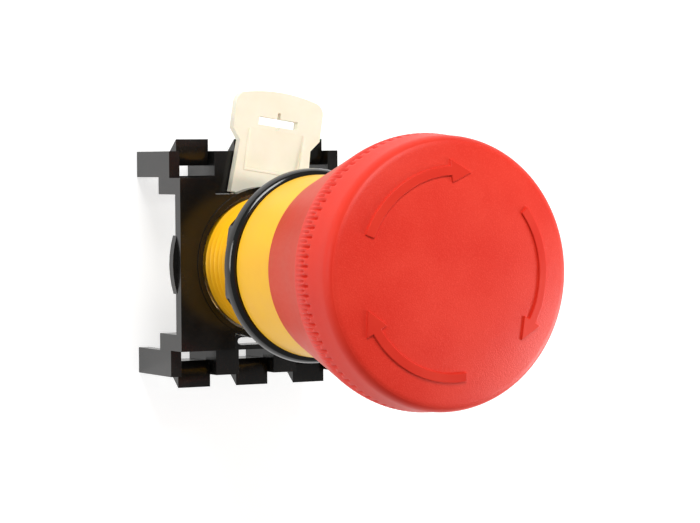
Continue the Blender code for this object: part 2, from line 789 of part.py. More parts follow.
def plate_outline():
    """Front plate with its corner pads; the upper right corner is left open for the lever."""
    half_w = FRAME_W / 2
    return [
        (-half_w, -PAD_HALF_H),
        (-half_w + PAD_BOTTOM_W, -PAD_HALF_H),
        (-half_w + PAD_BOTTOM_W, -PLATE_HALF_H),
        (half_w - PAD_BOTTOM_W, -PLATE_HALF_H),
        (half_w - PAD_BOTTOM_W, -PAD_HALF_H),
        (half_w, -PAD_HALF_H),
        (half_w, PLATE_HALF_H),
        (-half_w + PAD_TOP_W, PLATE_HALF_H),
        (-half_w + PAD_TOP_W, PAD_HALF_H),
        (-half_w, PAD_HALF_H),
    ]


def hook_profile(side):
    """Snap hook in the YZ plane: flat front, outward wedge, chamfered inner edge."""
    points = [
        (HOOK_TIP, HOOK_FRONT_Z),
        (HOOK_IN + 1.5, HOOK_FRONT_Z),
        (HOOK_IN, HOOK_FRONT_Z - HOOK_CHAMFER),
        (HOOK_IN, HOOK_REAR_Z),
        (BAR_OUT - 0.4, HOOK_REAR_Z),
        (BAR_OUT - 0.4, HOOK_FRONT_Z - 2.9),
    ]
    return [(side * y, z) for y, z in points]


def upright_prism(name, profile, low, high):
    """Prism along X of a profile given as (y, z)."""
    mesh = prism(name, profile, low, high)
    mesh.transform(Matrix(((0, 0, 1, 0), (1, 0, 0, 0), (0, 1, 0, 0), (0, 0, 0, 1))))
    return mesh


def curved_wall(middle_deg, inner_r, outer_r):
    """Curved wall beside the lever's ring, as a loop in the XY plane."""
    start, end = middle_deg - GUARD_SPAN_DEG / 2, middle_deg + GUARD_SPAN_DEG / 2
    return arc(0, 0, outer_r, start, end, 6) + arc(0, 0, inner_r, end, start, 6)


def side_solids(side):
    """Rail, posts, fins, skin and hooks of the upper (1) or lower (-1) side."""
    half_w = FRAME_W / 2
    rail = mirrored_span(side, RAIL_IN, FIN_IN)
    outer = mirrored_span(side, FIN_IN - 0.2, BAR_OUT)
    solids = [box("rail", (-half_w, half_w), rail, (RAIL_REAR_Z, RAIL_FRONT_Z))]
    posts = [(-half_w, -half_w + FIN_W), (half_w - FIN_W, half_w)]
    for left, right in zip(bay_middles(), bay_middles()[1:]):
        middle = (left + right) / 2
        posts.append((middle - POST_W / 2, middle + POST_W / 2))
    for low, high in posts:
        middle = (low + high) / 2
        fin = (middle - FIN_W / 2, middle + FIN_W / 2)
        solids.append(box("post", (low, high), outer, (RAIL_REAR_Z + 0.2, RAIL_FRONT_Z)))
        solids.append(box("fin", fin, outer, (FIN_REAR_Z, RAIL_REAR_Z + 0.5)))
    skin = mirrored_span(side, BAR_OUT - SKIN_T, BAR_OUT)
    solids.append(box("skin", (-half_w + 0.3, half_w - 0.3), skin, (SKIN_REAR_Z, HOOK_REAR_Z + 0.6)))
    for middle in bay_middles():
        low, high = middle - HOOK_W / 2, middle + HOOK_W / 2
        solids.append(upright_prism("hook", hook_profile(side), low, high))
    return solids


def pad_solids():
    """Corner pads that tie the front plate to the rails."""
    half_w = FRAME_W / 2
    span = (RAIL_REAR_Z, PLATE_FRONT_Z - 0.5)
    top = mirrored_span(1, RAIL_IN, PAD_HALF_H)
    bottom = mirrored_span(-1, RAIL_IN, PAD_HALF_H)
    return [
        box("pad", (-half_w, -half_w + PAD_TOP_W), top, span),
        box("pad", (-half_w, -half_w + PAD_BOTTOM_W), bottom, span),
        box("pad", (half_w - PAD_BOTTOM_W, half_w), bottom, span),
    ]


def obround(cx, cy, width, height, steps):
    """Slot outline with round ends."""
    reach = (width - height) / 2
    right = arc(cx + reach, cy, height / 2, -90, 90, steps)
    return right + arc(cx - reach, cy, height / 2, 90, 270, steps)


def make_frame(material):
    """Black holder: plate, collar, rails, snap hooks and fins for three contact blocks."""
    rear = PLATE_FRONT_Z - PLATE_T
    plate = prism("adapter_frame", plate_outline(), rear, PLATE_FRONT_Z)
    frame = add_object("adapter_frame", plate, material)
    collar_r = THREAD_R + RUNNING_GAP + COLLAR_WALL
    collar = lathe("collar", rod_outline(collar_r, rear, PLATE_FRONT_Z + COLLAR_RAISE), ROUND)
    combine(frame, collar, "UNION")
    for solid in side_solids(1) + side_solids(-1) + pad_solids():
        combine(frame, solid, "UNION")
    lip_low = LUG_TOP_Z - GUARD_LIP_T
    guard_r = LEVER_RING_R + RUNNING_GAP
    for middle in (0, 180):
        wall = curved_wall(middle, guard_r, guard_r + GUARD_WALL)
        lip = curved_wall(middle, LEVER_RING_R - GUARD_LIP, guard_r + GUARD_WALL / 2)
        bulge = curved_wall(middle, guard_r + GUARD_WALL / 2, BULGE_R)
        combine(frame, prism("bulge", bulge, rear - BULGE_T, rear + 0.5), "UNION")
        combine(frame, prism("guard", wall, lip_low, rear + 0.4), "UNION")
        combine(frame, prism("lip", lip, lip_low, LUG_TOP_Z), "UNION")
    bore = lathe("bore", rod_outline(THREAD_R + RUNNING_GAP, rear - 1, PLATE_FRONT_Z + 1), ROUND)
    combine(frame, bore, "DIFFERENCE")
    sight = obround(SIGHT_HOLE_X, SIGHT_HOLE_Y, SIGHT_HOLE_W, SIGHT_HOLE_H, 4)
    combine(frame, prism("sight", sight, RAIL_REAR_Z - 1, RAIL_FRONT_Z + 1), "DIFFERENCE")
    return frame


def lever_outline():
    """Handle outline, pointing along +Y: flared foot, neck and wider head with a round tip."""
    root = LEVER_RING_R - 1.5
    half = LEVER_HEAD_HALF_W
    corner = LEVER_CORNER_R
    tip_angle = math.degrees(math.asin((half - corner) / (LEVER_TIP_R - corner)))
    cx, cy = polar(LEVER_TIP_R - corner, 90 - tip_angle)
    right = [(LEVER_FOOT_HALF_W, root), (LEVER_NECK_HALF_W, LEVER_NECK_TOP)]
    right += [(half, LEVER_HEAD_START)]
    right += arc(cx, cy, corner, 0, 90 - tip_angle, 4)
    right += arc(0, 0, LEVER_TIP_R, 90 - tip_angle, 90, 4)[1:]
    left = [(-x, y) for x, y in reversed(right[:-1])]
    return right + left


def make_lever(material):
    """Cream locking ring with its handle; two notches let the barrel's lugs pass when unlocked."""
    rear, front = LEVER_REAR_Z, LEVER_FRONT_Z
    hole_r = BARREL_NECK_R + RUNNING_GAP
    outline = [(hole_r, rear), (LEVER_RING_R, rear), (LEVER_RING_R, front), (hole_r, front)]
    lever = add_object("locking_lever", lathe("locking_lever", outline, ROUND), material)
    combine(lever, prism("handle", lever_outline(), rear, front), "UNION")
    half_w = LEVER_PANEL_W / 2
    panel_y = (LEVER_PANEL_BOTTOM, LEVER_PANEL_TOP)
    panel = box("panel", (-half_w, half_w), panel_y, (front - LEVER_PANEL_DEPTH, front + 1))
    combine(lever, panel, "DIFFERENCE")
    slot_y = (LEVER_SLOT_POS - LEVER_SLOT_H / 2, LEVER_SLOT_POS + LEVER_SLOT_H / 2)
    slot_x = (-LEVER_SLOT_W / 2, LEVER_SLOT_W / 2)
    combine(lever, box("slot", slot_x, slot_y, (rear - 1, front + 1)), "DIFFERENCE")
    notch_half = LUG_HALF_DEG + 2
    away = LEVER_SWING_DEG - LEVER_REST_DEG
    for middle in LUG_SIDES_DEG:
        start, end = middle + away - notch_half, middle + away + notch_half
        outer = arc(0, 0, THREAD_R + RUNNING_GAP, start, end, 4)
        inner = arc(0, 0, hole_r - 1, end, start, 4)
        combine(lever, prism("notch", outer + inner, rear - 1, front + 1), "DIFFERENCE")
    lever.matrix_world = turned(LEVER_REST_DEG)
    return lever


def build():
    """Make every piece of the button."""
    clear_scene()
    red = make_material("red_plastic", RED, 0.42)
    dull_red = make_material("red_skirt_plastic", DULL_RED, 0.5)
    yellow = make_material("yellow_plastic", YELLOW, 0.4)
    black = make_material("black_plastic", BLACK, 0.35)
    rubber = make_material("black_rubber", RUBBER, 0.45)
    cream = make_material("cream_plastic", CREAM, 0.45)
    steel = make_material("spring_steel", STEEL, 0.3, 1.0)
    grey = make_material("grey_acetal", GREY, 0.5)
    white = make_material("white_acetal", WHITE, 0.5)

    make_cap(red)
    make_skirt(dull_red)
    make_cap_pin(steel)
    make_stem(grey)
    make_barrel(yellow)
    make_gasket(rubber)
    make_washer(steel)
    make_nut(black)
    make_guide_bush(grey)
    make_seal(rubber)
    make_retaining_ring(steel)
    make_torsion_spring(steel)
    make_carrier(black)
    make_latch_pins(steel)
    make_latch_spring(steel)
    make_return_spring(steel)
    make_lower_bush(black)
    make_actuator(white)
    make_clip(steel)
    make_frame(black)
    make_lever(cream)


build()
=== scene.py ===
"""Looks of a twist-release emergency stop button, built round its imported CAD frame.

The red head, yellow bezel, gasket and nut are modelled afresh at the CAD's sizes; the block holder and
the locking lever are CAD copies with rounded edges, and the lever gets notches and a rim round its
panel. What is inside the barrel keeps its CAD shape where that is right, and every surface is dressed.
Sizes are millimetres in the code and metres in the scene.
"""

import json
import logging
import math
import sys
from dataclasses import dataclass, field
from enum import Enum
from typing import Callable, Optional, Sequence

import bpy
from mathutils import Matrix, Vector

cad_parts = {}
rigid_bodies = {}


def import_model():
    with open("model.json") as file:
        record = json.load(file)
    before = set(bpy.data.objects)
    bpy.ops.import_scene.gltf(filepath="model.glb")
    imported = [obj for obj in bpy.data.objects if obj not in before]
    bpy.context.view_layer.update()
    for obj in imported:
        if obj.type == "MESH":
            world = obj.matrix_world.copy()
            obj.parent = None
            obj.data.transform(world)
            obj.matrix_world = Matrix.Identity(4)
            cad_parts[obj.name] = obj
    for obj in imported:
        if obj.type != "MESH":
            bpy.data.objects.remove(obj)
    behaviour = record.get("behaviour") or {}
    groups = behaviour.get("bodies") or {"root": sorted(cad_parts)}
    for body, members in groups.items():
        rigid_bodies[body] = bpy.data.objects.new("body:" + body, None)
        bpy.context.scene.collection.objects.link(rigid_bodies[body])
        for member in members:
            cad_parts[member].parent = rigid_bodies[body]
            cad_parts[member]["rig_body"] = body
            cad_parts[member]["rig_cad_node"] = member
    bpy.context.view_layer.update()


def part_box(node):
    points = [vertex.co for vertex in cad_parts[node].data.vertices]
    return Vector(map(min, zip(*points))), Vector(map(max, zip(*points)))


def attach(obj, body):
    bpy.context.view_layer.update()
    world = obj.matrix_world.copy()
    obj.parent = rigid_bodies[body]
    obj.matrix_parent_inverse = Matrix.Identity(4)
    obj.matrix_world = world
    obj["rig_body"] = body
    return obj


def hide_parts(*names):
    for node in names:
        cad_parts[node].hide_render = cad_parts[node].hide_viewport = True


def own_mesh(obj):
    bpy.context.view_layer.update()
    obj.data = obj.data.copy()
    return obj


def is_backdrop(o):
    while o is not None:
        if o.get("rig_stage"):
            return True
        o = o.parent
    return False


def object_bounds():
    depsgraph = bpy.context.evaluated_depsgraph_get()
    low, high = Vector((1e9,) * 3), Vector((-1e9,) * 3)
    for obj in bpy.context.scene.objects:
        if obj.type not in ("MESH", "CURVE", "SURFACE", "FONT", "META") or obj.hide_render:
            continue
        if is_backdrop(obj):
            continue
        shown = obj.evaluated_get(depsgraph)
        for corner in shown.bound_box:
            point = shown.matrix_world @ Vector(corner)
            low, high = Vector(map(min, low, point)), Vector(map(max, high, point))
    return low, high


LOG = logging.getLogger("emergency_stop_button")
MM = 0.001
FULL_TURN = 2 * math.pi

Point = tuple[float, float]


# --- Node and material tools ---------------------------------------------------------------------


def linear(hex_colour: str) -> tuple[float, float, float, float]:
    """Turn an sRGB hex colour into linear RGBA.

    Args:
        hex_colour: Six hex digits with a leading hash.

    Returns:
        Red, green, blue and alpha between 0 and 1.
    """
    channels = []
    for start in (1, 3, 5):
        value = int(hex_colour[start : start + 2], 16) / 255
        channels.append(value / 12.92 if value <= 0.04045 else ((value + 0.055) / 1.055) ** 2.4)
    return channels[0], channels[1], channels[2], 1.0


def add_node(
    tree: bpy.types.NodeTree,
    kind: str,
    settings: Optional[dict] = None,
    links: Optional[dict] = None,
) -> bpy.types.Node:
    """Add one shader node with its settings and incoming links.

    Args:
        tree: Node tree that gets the node.
        kind: Blender's node type.
        settings: Values by attribute name or by input name or number.
        links: Output sockets by the input name or number that they feed.

    Returns:
        The new node.
    """
    node = tree.nodes.new(kind)
    for key, value in (settings or {}).items():
        if isinstance(key, str) and hasattr(node, key):
            setattr(node, key, value)
        else:
            node.inputs[key].default_value = value
    for key, socket in (links or {}).items():
        tree.links.new(socket, node.inputs[key])
    return node


class Grain(Enum):
    """How a surface's fine pattern is stretched along X, Y and Z."""

    EVEN = (1.0, 1.0, 1.0)
    ALONG_AXIS = (1.0, 1.0, 0.18)
    ROUND_AXIS = (0.35, 0.35, 1.6)
    ACROSS = (0.2, 1.0, 1.0)


@dataclass(frozen=True)
class Finish:
    """One real material and how its surface was made.

    Each pattern size is in millimetres. Colours are sRGB hex values.
    """

    name: str
    colour: str
    second_colour: str
    roughness: tuple[float, float]
    grain_mm: float
    cloud_mm: float
    relief_mm: float
    relief: float = 0.3
    ior: float = 1.5
    metallic: float = 0.0
    specular: float = 0.5
    scatter: float = 0.0
    scatter_mm: float = 0.6
    # Bright flecks mixed into the colour on the fine grain: painted glints on the sparked red, real
    # glass-fibre flecks on the black polyamide.
    fleck_and_glint: float = 0.0
    fleck_and_glint_colour: str = "#ffffff"
    grain: Grain = Grain.EVEN

    def material(self) -> bpy.types.Material:
        """Give the finish's material, made the first time it is asked for.

        Returns:
            A material whose pattern reads Object coordinates.
        """
        made = bpy.data.materials.get(self.name)
        if made:
            return made
        material = bpy.data.materials.new(self.name)
        material.use_nodes = True
        tree = material.node_tree
        shader = tree.nodes["Principled BSDF"]
        place = add_node(tree, "ShaderNodeTexCoord").outputs["Object"]
        stretched = add_node(tree, "ShaderNodeMapping", {"Scale": self.grain.value}, {"Vector": place})
        fine = add_node(
            tree,
            "ShaderNodeTexNoise",
            {"Scale": 1 / (self.grain_mm * MM), "Detail": 3.0, "Roughness": 0.6},
            {"Vector": stretched.outputs["Vector"]},
        )
        cloud = add_node(
            tree,
            "ShaderNodeTexNoise",
            {"Scale": 1 / (self.cloud_mm * MM), "Detail": 4.0, "Roughness": 0.55},
            {"Vector": place},
        )
        colour = self._coloured(tree, fine, cloud)
        both = add_node(
            tree,
            "ShaderNodeMath",
            {"operation": "MULTIPLY_ADD", 1: 0.5},
            {0: fine.outputs["Fac"], 2: cloud.outputs["Fac"]},
        )
        rough = add_node(
            tree,
            "ShaderNodeMapRange",
            {"From Min": 0.5, "From Max": 1.0, "To Min": self.roughness[0], "To Max": self.roughness[1]},
            {"Value": both.outputs["Value"]},
        )
        bump = add_node(
            tree,
            "ShaderNodeBump",
            {"Strength": self.relief, "Distance": self.relief_mm * MM},
            {"Height": fine.outputs["Fac"]},
        )
        tree.links.new(colour, shader.inputs["Base Color"])
        tree.links.new(rough.outputs["Result"], shader.inputs["Roughness"])
        tree.links.new(bump.outputs["Normal"], shader.inputs["Normal"])
        shader.inputs["Metallic"].default_value = self.metallic
        shader.inputs["Specular IOR Level"].default_value = self.specular
        shader.inputs["Subsurface Weight"].default_value = self.scatter
        shader.inputs["Subsurface Scale"].default_value = self.scatter_mm * MM
        if not self.metallic:
            shader.inputs["IOR"].default_value = self.ior
        return material

    def _coloured(
        self, tree: bpy.types.NodeTree, fine: bpy.types.Node, cloud: bpy.types.Node
    ) -> bpy.types.NodeSocket:
        """Mix the two colours by the cloudy pattern and add bright flecks on the grain: painted glints
        on the sparked red, glass-fibre flecks on the black.

        Args:
            tree: Node tree of the material.
            fine: Noise of the surface's grain.
            cloud: Noise of its slow changes.

        Returns:
            The colour socket for the shader.
        """
        share = add_node(
            tree,
            "ShaderNodeMapRange",
            {"From Min": 0.35, "From Max": 0.65},
            {"Value": cloud.outputs["Fac"]},
        )
        mixed = add_node(
            tree,
            "ShaderNodeMix",
            {"data_type": "RGBA", 6: linear(self.colour), 7: linear(self.second_colour)},
            {0: share.outputs["Result"]},
        )
        if not self.fleck_and_glint:
            return mixed.outputs[2]
        # Painted glints on the sparked red and glass-fibre flecks on the black: a bright colour mixed in
        # where the fine grain is high.
        fleck_and_glint_share = add_node(
            tree,
            "ShaderNodeMapRange",
            {"From Min": 0.48, "From Max": 0.72, "To Max": self.fleck_and_glint},
            {"Value": fine.outputs["Fac"]},
        )
        fleck_and_glint_mixed = add_node(
            tree,
            "ShaderNodeMix",
            {"data_type": "RGBA", 7: linear(self.fleck_and_glint_colour)},
            {0: fleck_and_glint_share.outputs["Result"], 6: mixed.outputs[2]},
        )
        return fleck_and_glint_mixed.outputs[2]


# Spark-eroded ABS: the mould's pitted steel leaves a fine, even grain. Its glitter is painted into the
# colour as bright red glints on the grain. The real grain is about 0.1 mm, too fine to show, so it is
# drawn at 0.2 mm.
SPARKED_RED_ABS = Finish(
    "sparked_red_abs",
    "#e02e1c",
    "#e53521",
    (0.4, 0.52),
    grain_mm=0.2,
    cloud_mm=9.0,
    relief_mm=0.05,
    relief=0.7,
    ior=1.54,
    specular=0.3,
    # painted glints: bright red specks mixed into the face's colour
    fleck_and_glint=0.22,
    fleck_and_glint_colour="#ff5a44",
)
# Polished-mould ABS: the rim, flank and arrows are smoother and carry soft highlights.
SMOOTH_RED_ABS = Finish(
    "smooth_red_abs",
    "#d93021",
    "#de3624",
    (0.42, 0.52),
    grain_mm=0.5,
    cloud_mm=7.0,
    relief_mm=0.02,
    relief=0.25,
    ior=1.54,
    specular=0.15,
)
# The skirt, a separate moulding, is drawn in a slightly browner, darker red than the cap.
DULL_RED_ABS = Finish(
    "dull_red_abs",
    "#c9361e",
    "#cf3b23",
    (0.36, 0.46),
    grain_mm=0.6,
    cloud_mm=8.0,
    relief_mm=0.02,
    relief=0.2,
    ior=1.54,
    specular=0.1,
    grain=Grain.ALONG_AXIS,
)
# Yellow polyamide, moulded with faint flow lines round the axis; semi-gloss.
YELLOW_POLYAMIDE = Finish(
    "yellow_polyamide",
    "#f2b40a",
    "#f5ba10",
    (0.3, 0.42),
    grain_mm=0.7,
    cloud_mm=6.0,
    relief_mm=0.02,
    relief=0.2,
    ior=1.53,
    specular=0.2,
    grain=Grain.ROUND_AXIS,
)
# Glass-filled black polyamide: glossy skin, with short glass fibres that leave a faint mottling.
GLASS_FILLED_BLACK = Finish(
    "glass_filled_black_polyamide",
    "#11100f",
    "#191817",
    (0.16, 0.26),
    grain_mm=0.4,
    cloud_mm=5.0,
    relief_mm=0.01,
    relief=0.12,
    ior=1.55,
    specular=0.35,
    fleck_and_glint=0.02,
    fleck_and_glint_colour="#8a867c",
)
# Nitrile rubber, moulded and wiped with silicone: black with a broad wet highlight.
NITRILE_RUBBER = Finish(
    "nitrile_rubber",
    "#0c0c0b",
    "#131312",
    (0.08, 0.16),
    grain_mm=0.4,
    cloud_mm=4.0,
    relief_mm=0.02,
    relief=0.25,
    ior=1.52,
    grain=Grain.ROUND_AXIS,
)
# Natural acetal: creamy, waxy and slightly translucent at its edges.
CREAM_ACETAL = Finish(
    "cream_acetal",
    "#ece7d2",
    "#f1ecd9",
    (0.3, 0.42),
    grain_mm=0.5,
    cloud_mm=5.0,
    relief_mm=0.015,
    relief=0.2,
    ior=1.48,
    scatter=0.15,
)
# Drawn and stamped spring steel, with fine die lines along the wire.
SPRING_STEEL = Finish(
    "spring_steel",
    "#b9bcbf",
    "#a3a6aa",
    (0.22, 0.4),
    grain_mm=0.15,
    cloud_mm=2.0,
    relief_mm=0.01,
    relief=0.3,
    metallic=1.0,
    grain=Grain.ACROSS,
)
# Grey acetal bearings, moulded: matt and slightly waxy.
GREY_ACETAL = Finish(
    "grey_acetal",
    "#6d6f72",
    "#7a7c7f",
    (0.4, 0.55),
    grain_mm=0.3,
    cloud_mm=4.0,
    relief_mm=0.015,
    ior=1.48,
    grain=Grain.ALONG_AXIS,
)
# White acetal pusher, moulded: waxy and faintly translucent.
WHITE_ACETAL = Finish(
    "white_acetal",
    "#e4e3de",
    "#ecebe6",
    (0.35, 0.5),
    grain_mm=0.35,
    cloud_mm=4.0,
    relief_mm=0.015,
    ior=1.48,
    scatter=0.15,
)
# Matt white paper sweep under the object.
PAPER = Finish(
    "white_paper",
    "#c4c4c3",
    "#c8c8c7",
    (0.85, 0.95),
    grain_mm=0.8,
    cloud_mm=60.0,
    relief_mm=0.01,
    relief=0.1,
)


# --- Modelling tools -----------------------------------------------------------------------------


def pick(piece: bpy.types.Object) -> bpy.types.Object:
    """Make a piece the only selected and active object, in object mode.

    Args:
        piece: Object to select.

    Returns:
        The same object.
    """
    if bpy.context.object and bpy.context.object.mode != "OBJECT":
        bpy.ops.object.mode_set(mode="OBJECT")
    bpy.ops.object.select_all(action="DESELECT")
    piece.select_set(True)
    bpy.context.view_layer.objects.active = piece
    return piece


def fresh() -> None:
    """Deselect everything before a primitive is added."""
    bpy.ops.object.select_all(action="DESELECT")


def edited(piece: bpy.types.Object, *steps: Callable[[], object]) -> bpy.types.Object:
    """Run edit-mode operators on a piece with all of it selected.

    Args:
        piece: Mesh object to edit.
        steps: Operator calls, run in order.

    Returns:
        The same piece, back in object mode.
    """
    pick(piece)
    bpy.ops.object.mode_set(mode="EDIT")
    bpy.ops.mesh.select_all(action="SELECT")
    for step in steps:
        step()
    bpy.ops.object.mode_set(mode="OBJECT")
    return piece


def merged(piece: bpy.types.Object) -> bpy.types.Object:
    """Merge doubled corners and turn all faces outwards.

    Args:
        piece: Mesh object to clean.

    Returns:
        The same piece.
    """
    return edited(
        piece,
        lambda: bpy.ops.mesh.remove_doubles(threshold=0.002 * MM),
        lambda: bpy.ops.mesh.normals_make_consistent(inside=False),
    )


def modified(piece: bpy.types.Object, kind: str, **settings: object) -> bpy.types.Object:
    """Add a modifier and apply it.

    Args:
        piece: Mesh object to change.
        kind: Blender's modifier type.
        settings: Values of the modifier.

    Returns:
        The same piece.
    """
    pick(piece)
    modifier = piece.modifiers.new(kind.title(), kind)
    for key, value in settings.items():
        setattr(modifier, key, value)
    bpy.ops.object.modifier_apply(modifier=modifier.name)
    return piece


def bevelled(
    piece: bpy.types.Object, width_mm: float, segments: int = 2, angle: float = 35
) -> bpy.types.Object:
    """Round a piece's sharp edges.

    Args:
        piece: Mesh object to change.
        width_mm: Width of the bevel in millimetres.
        segments: Number of faces across the bevel.
        angle: Edges sharper than this many degrees are rounded.

    Returns:
        The same piece.
    """
    return modified(
        piece,
        "BEVEL",
        width=width_mm * MM,
        segments=segments,
        limit_method="ANGLE",
        angle_limit=math.radians(angle),
        use_clamp_overlap=True,
        harden_normals=False,
    )


def smoothed(piece: bpy.types.Object, angle: float = 30) -> bpy.types.Object:
    """Shade a piece smooth except across edges sharper than an angle in degrees."""
    pick(piece)
    bpy.ops.object.shade_smooth_by_angle(angle=math.radians(angle))
    return modified(piece, "WEIGHTED_NORMAL", weight=100, keep_sharp=True)


def joined(piece: bpy.types.Object, tool: bpy.types.Object, operation: str) -> bpy.types.Object:
    """Add a tool's solid to a piece or cut it away, and remove the tool.

    Args:
        piece: Solid that stays.
        tool: Solid that is used up.
        operation: UNION, DIFFERENCE or INTERSECT.

    Returns:
        The changed piece.
    """
    modified(piece, "BOOLEAN", object=tool, operation=operation, solver="EXACT")
    bpy.data.objects.remove(tool, do_unlink=True)
    return piece


def traced(name: str, corners: Sequence[Vector], filled: bool = False) -> bpy.types.Object:
    """Trace a closed outline corner by corner, starting from one point of a plane.

    Args:
        name: Name of the piece.
        corners: Places of the corners in millimetres, in order.
        filled: Whether the outline is closed with a face.

    Returns:
        The outline as an object at the origin.
    """
    fresh()
    bpy.ops.mesh.primitive_plane_add(size=MM, location=(0, 0, 0))
    piece = bpy.context.object
    piece.name = name
    places = [Vector(corner) * MM for corner in corners]
    bpy.ops.object.mode_set(mode="EDIT")
    bpy.ops.mesh.select_mode(type="VERT")
    bpy.ops.mesh.select_all(action="SELECT")
    bpy.ops.mesh.merge(type="CENTER")
    bpy.ops.transform.translate(value=places[0])
    for before, after in zip(places, places[1:]):
        bpy.ops.mesh.extrude_region_move(TRANSFORM_OT_translate={"value": after - before})
    if filled:
        bpy.ops.mesh.select_all(action="SELECT")
        bpy.ops.mesh.edge_face_add()
        bpy.ops.object.mode_set(mode="OBJECT")
        return piece
    bpy.ops.object.mode_set(mode="OBJECT")
    last = len(corners) - 1
    return moved(
        piece,
        lambda vertex: vertex.index in (0, last),
        lambda: bpy.ops.mesh.edge_face_add(),
    )


def moved(
    piece: bpy.types.Object,
    chosen: Callable[[bpy.types.MeshVertex], bool],
    step: Callable[[], object],
) -> bpy.types.Object:
    """Run one edit-mode operator on chosen corners of a piece.

    Args:
        piece: Mesh object to edit.
        chosen: Test that a corner must pass to be selected.
        step: Operator call.

    Returns:
        The same piece, back in object mode.
    """
    pick(piece)
    bpy.ops.object.mode_set(mode="EDIT")
    bpy.ops.mesh.select_mode(type="VERT")
    bpy.ops.mesh.select_all(action="DESELECT")
    bpy.ops.object.mode_set(mode="OBJECT")
    for vertex in piece.data.vertices:
        vertex.select = chosen(vertex)
    bpy.ops.object.mode_set(mode="EDIT")
    step()
    bpy.ops.object.mode_set(mode="OBJECT")
    return piece


def turned(name: str, outline: Sequence[Point], steps: int) -> bpy.types.Object:
    """Spin a closed outline round the axis.

    Args:
        name: Name of the piece.
        outline: Radius and height of each corner in millimetres, in order.
        steps: Number of flats round the piece.

    Returns:
        The closed turned piece.
    """
    piece = traced(name, [Vector((r, 0, z)) for r, z in outline])
    edited(
        piece,
        lambda: bpy.ops.mesh.spin(steps=steps, angle=FULL_TURN, center=(0, 0, 0), axis=(0, 0, 1)),
    )
    return merged(piece)


def raised(name: str, outline: Sequence[Point], low: float, high: float) -> bpy.types.Object:
    """Extrude an outline in the XY plane between two heights.

    Args:
        name: Name of the piece.
        outline: X and Y of each corner in millimetres, in order.
        low: Height of the lower face.
        high: Height of the upper face.

    Returns:
        The closed solid.
    """
    piece = traced(name, [Vector((x, y, low)) for x, y in outline], filled=True)
    lift = {"value": (0, 0, (high - low) * MM)}
    edited(piece, lambda: bpy.ops.mesh.extrude_region_move(TRANSFORM_OT_translate=lift))
    return merged(piece)


def turned_about(piece: bpy.types.Object, degrees: float) -> bpy.types.Object:
    """Turn a piece's mesh about the axis."""
    piece.data.transform(Matrix.Rotation(math.radians(degrees), 4, "Z"))
    return piece


def copied(piece: bpy.types.Object, name: str) -> bpy.types.Object:
    """Copy a piece with a mesh of its own.

    Args:
        piece: Object to copy.
        name: Name of the copy.

    Returns:
        The copy.
    """
    twin = piece.copy()
    twin.data = piece.data.copy()
    twin.name = name
    bpy.context.scene.collection.objects.link(twin)
    return twin


def cad_copy(node: str, name: str) -> bpy.types.Object:
    """Copy a CAD node as a new piece with merged corners and whole flat faces.

    Args:
        node: Name of the CAD node.
        name: Name of the new piece.

    Returns:
        The copy, which rides on nothing yet.
    """
    piece = copied(bpy.data.objects[node], name)
    piece.parent = None
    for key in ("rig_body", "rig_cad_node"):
        del piece[key]
    merged(piece)
    flat = math.radians(0.5)
    return edited(piece, lambda: bpy.ops.mesh.dissolve_limited(angle_limit=flat))


def soft_curve(corners: Sequence[Point], steps: int) -> list[Point]:
    """Round a broken line into a smooth one that touches the middle of each straight part.

    Args:
        corners: Corners of the broken line.
        steps: Points for each inner corner.

    Returns:
        The smooth line with both ends kept.
    """
    points = [corners[0]]
    last = len(corners) - 2
    for i in range(1, last + 1):
        before, middle, after = (Vector(corners[k]) for k in (i - 1, i, i + 1))
        start = before if i == 1 else (before + middle) / 2
        end = after if i == last else (middle + after) / 2
        for k in range(1, steps + 1):
            t = k / steps
            place = start * (1 - t) ** 2 + middle * 2 * t * (1 - t) + end * t * t
            points.append((place.x, place.y))
    return points


def polar(radius: float, degrees: float) -> Point:
    """Point on a circle round the axis."""
    angle = math.radians(degrees)
    return radius * math.cos(angle), radius * math.sin(angle)


def arc(radius: float, start: float, end: float, steps: int) -> list[Point]:
    """Points along an arc round the axis, both ends included."""
    return [polar(radius, start + (end - start) * i / steps) for i in range(steps + 1)]


def box_mm(node: str) -> tuple[Vector, Vector]:
    """Lowest and highest corner of a CAD node in millimetres."""
    low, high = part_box(node)
    return low / MM, high / MM


def deliver(
    piece: bpy.types.Object,
    body: str,
    finish: Finish,
    replaced: Sequence[str] = (),
) -> bpy.types.Object:
    """Dress a finished piece, hang it on its body and report it.

    Args:
        piece: The finished mesh object.
        body: CAD body that it rides on.
        finish: Finish of the whole piece, unless it has its own materials already.
        replaced: CAD nodes that it stands for.

    Returns:
        The same piece.
    """
    first = piece.data.materials[0] if piece.data.materials else None
    if first is None or first.name != finish.name:
        piece.data.materials.clear()
        piece.data.materials.append(finish.material())
    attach(piece, body)
    if replaced:
        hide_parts(*replaced)
    LOG.info("%s: %d faces on %s", piece.name, len(piece.data.polygons), body)
    return piece


def dress(node: str, finish: Finish) -> None:
    """Give a CAD node that keeps its shape its finish.

    Args:
        node: Name of the CAD node.
        finish: Finish of its whole surface.
    """
    item = bpy.data.objects[node]
    item.data.materials.clear()
    item.data.materials.append(finish.material())
    LOG.info("%s keeps its shape, in %s", node, finish.name)


# --- Red head ------------------------------------------------------------------------------------


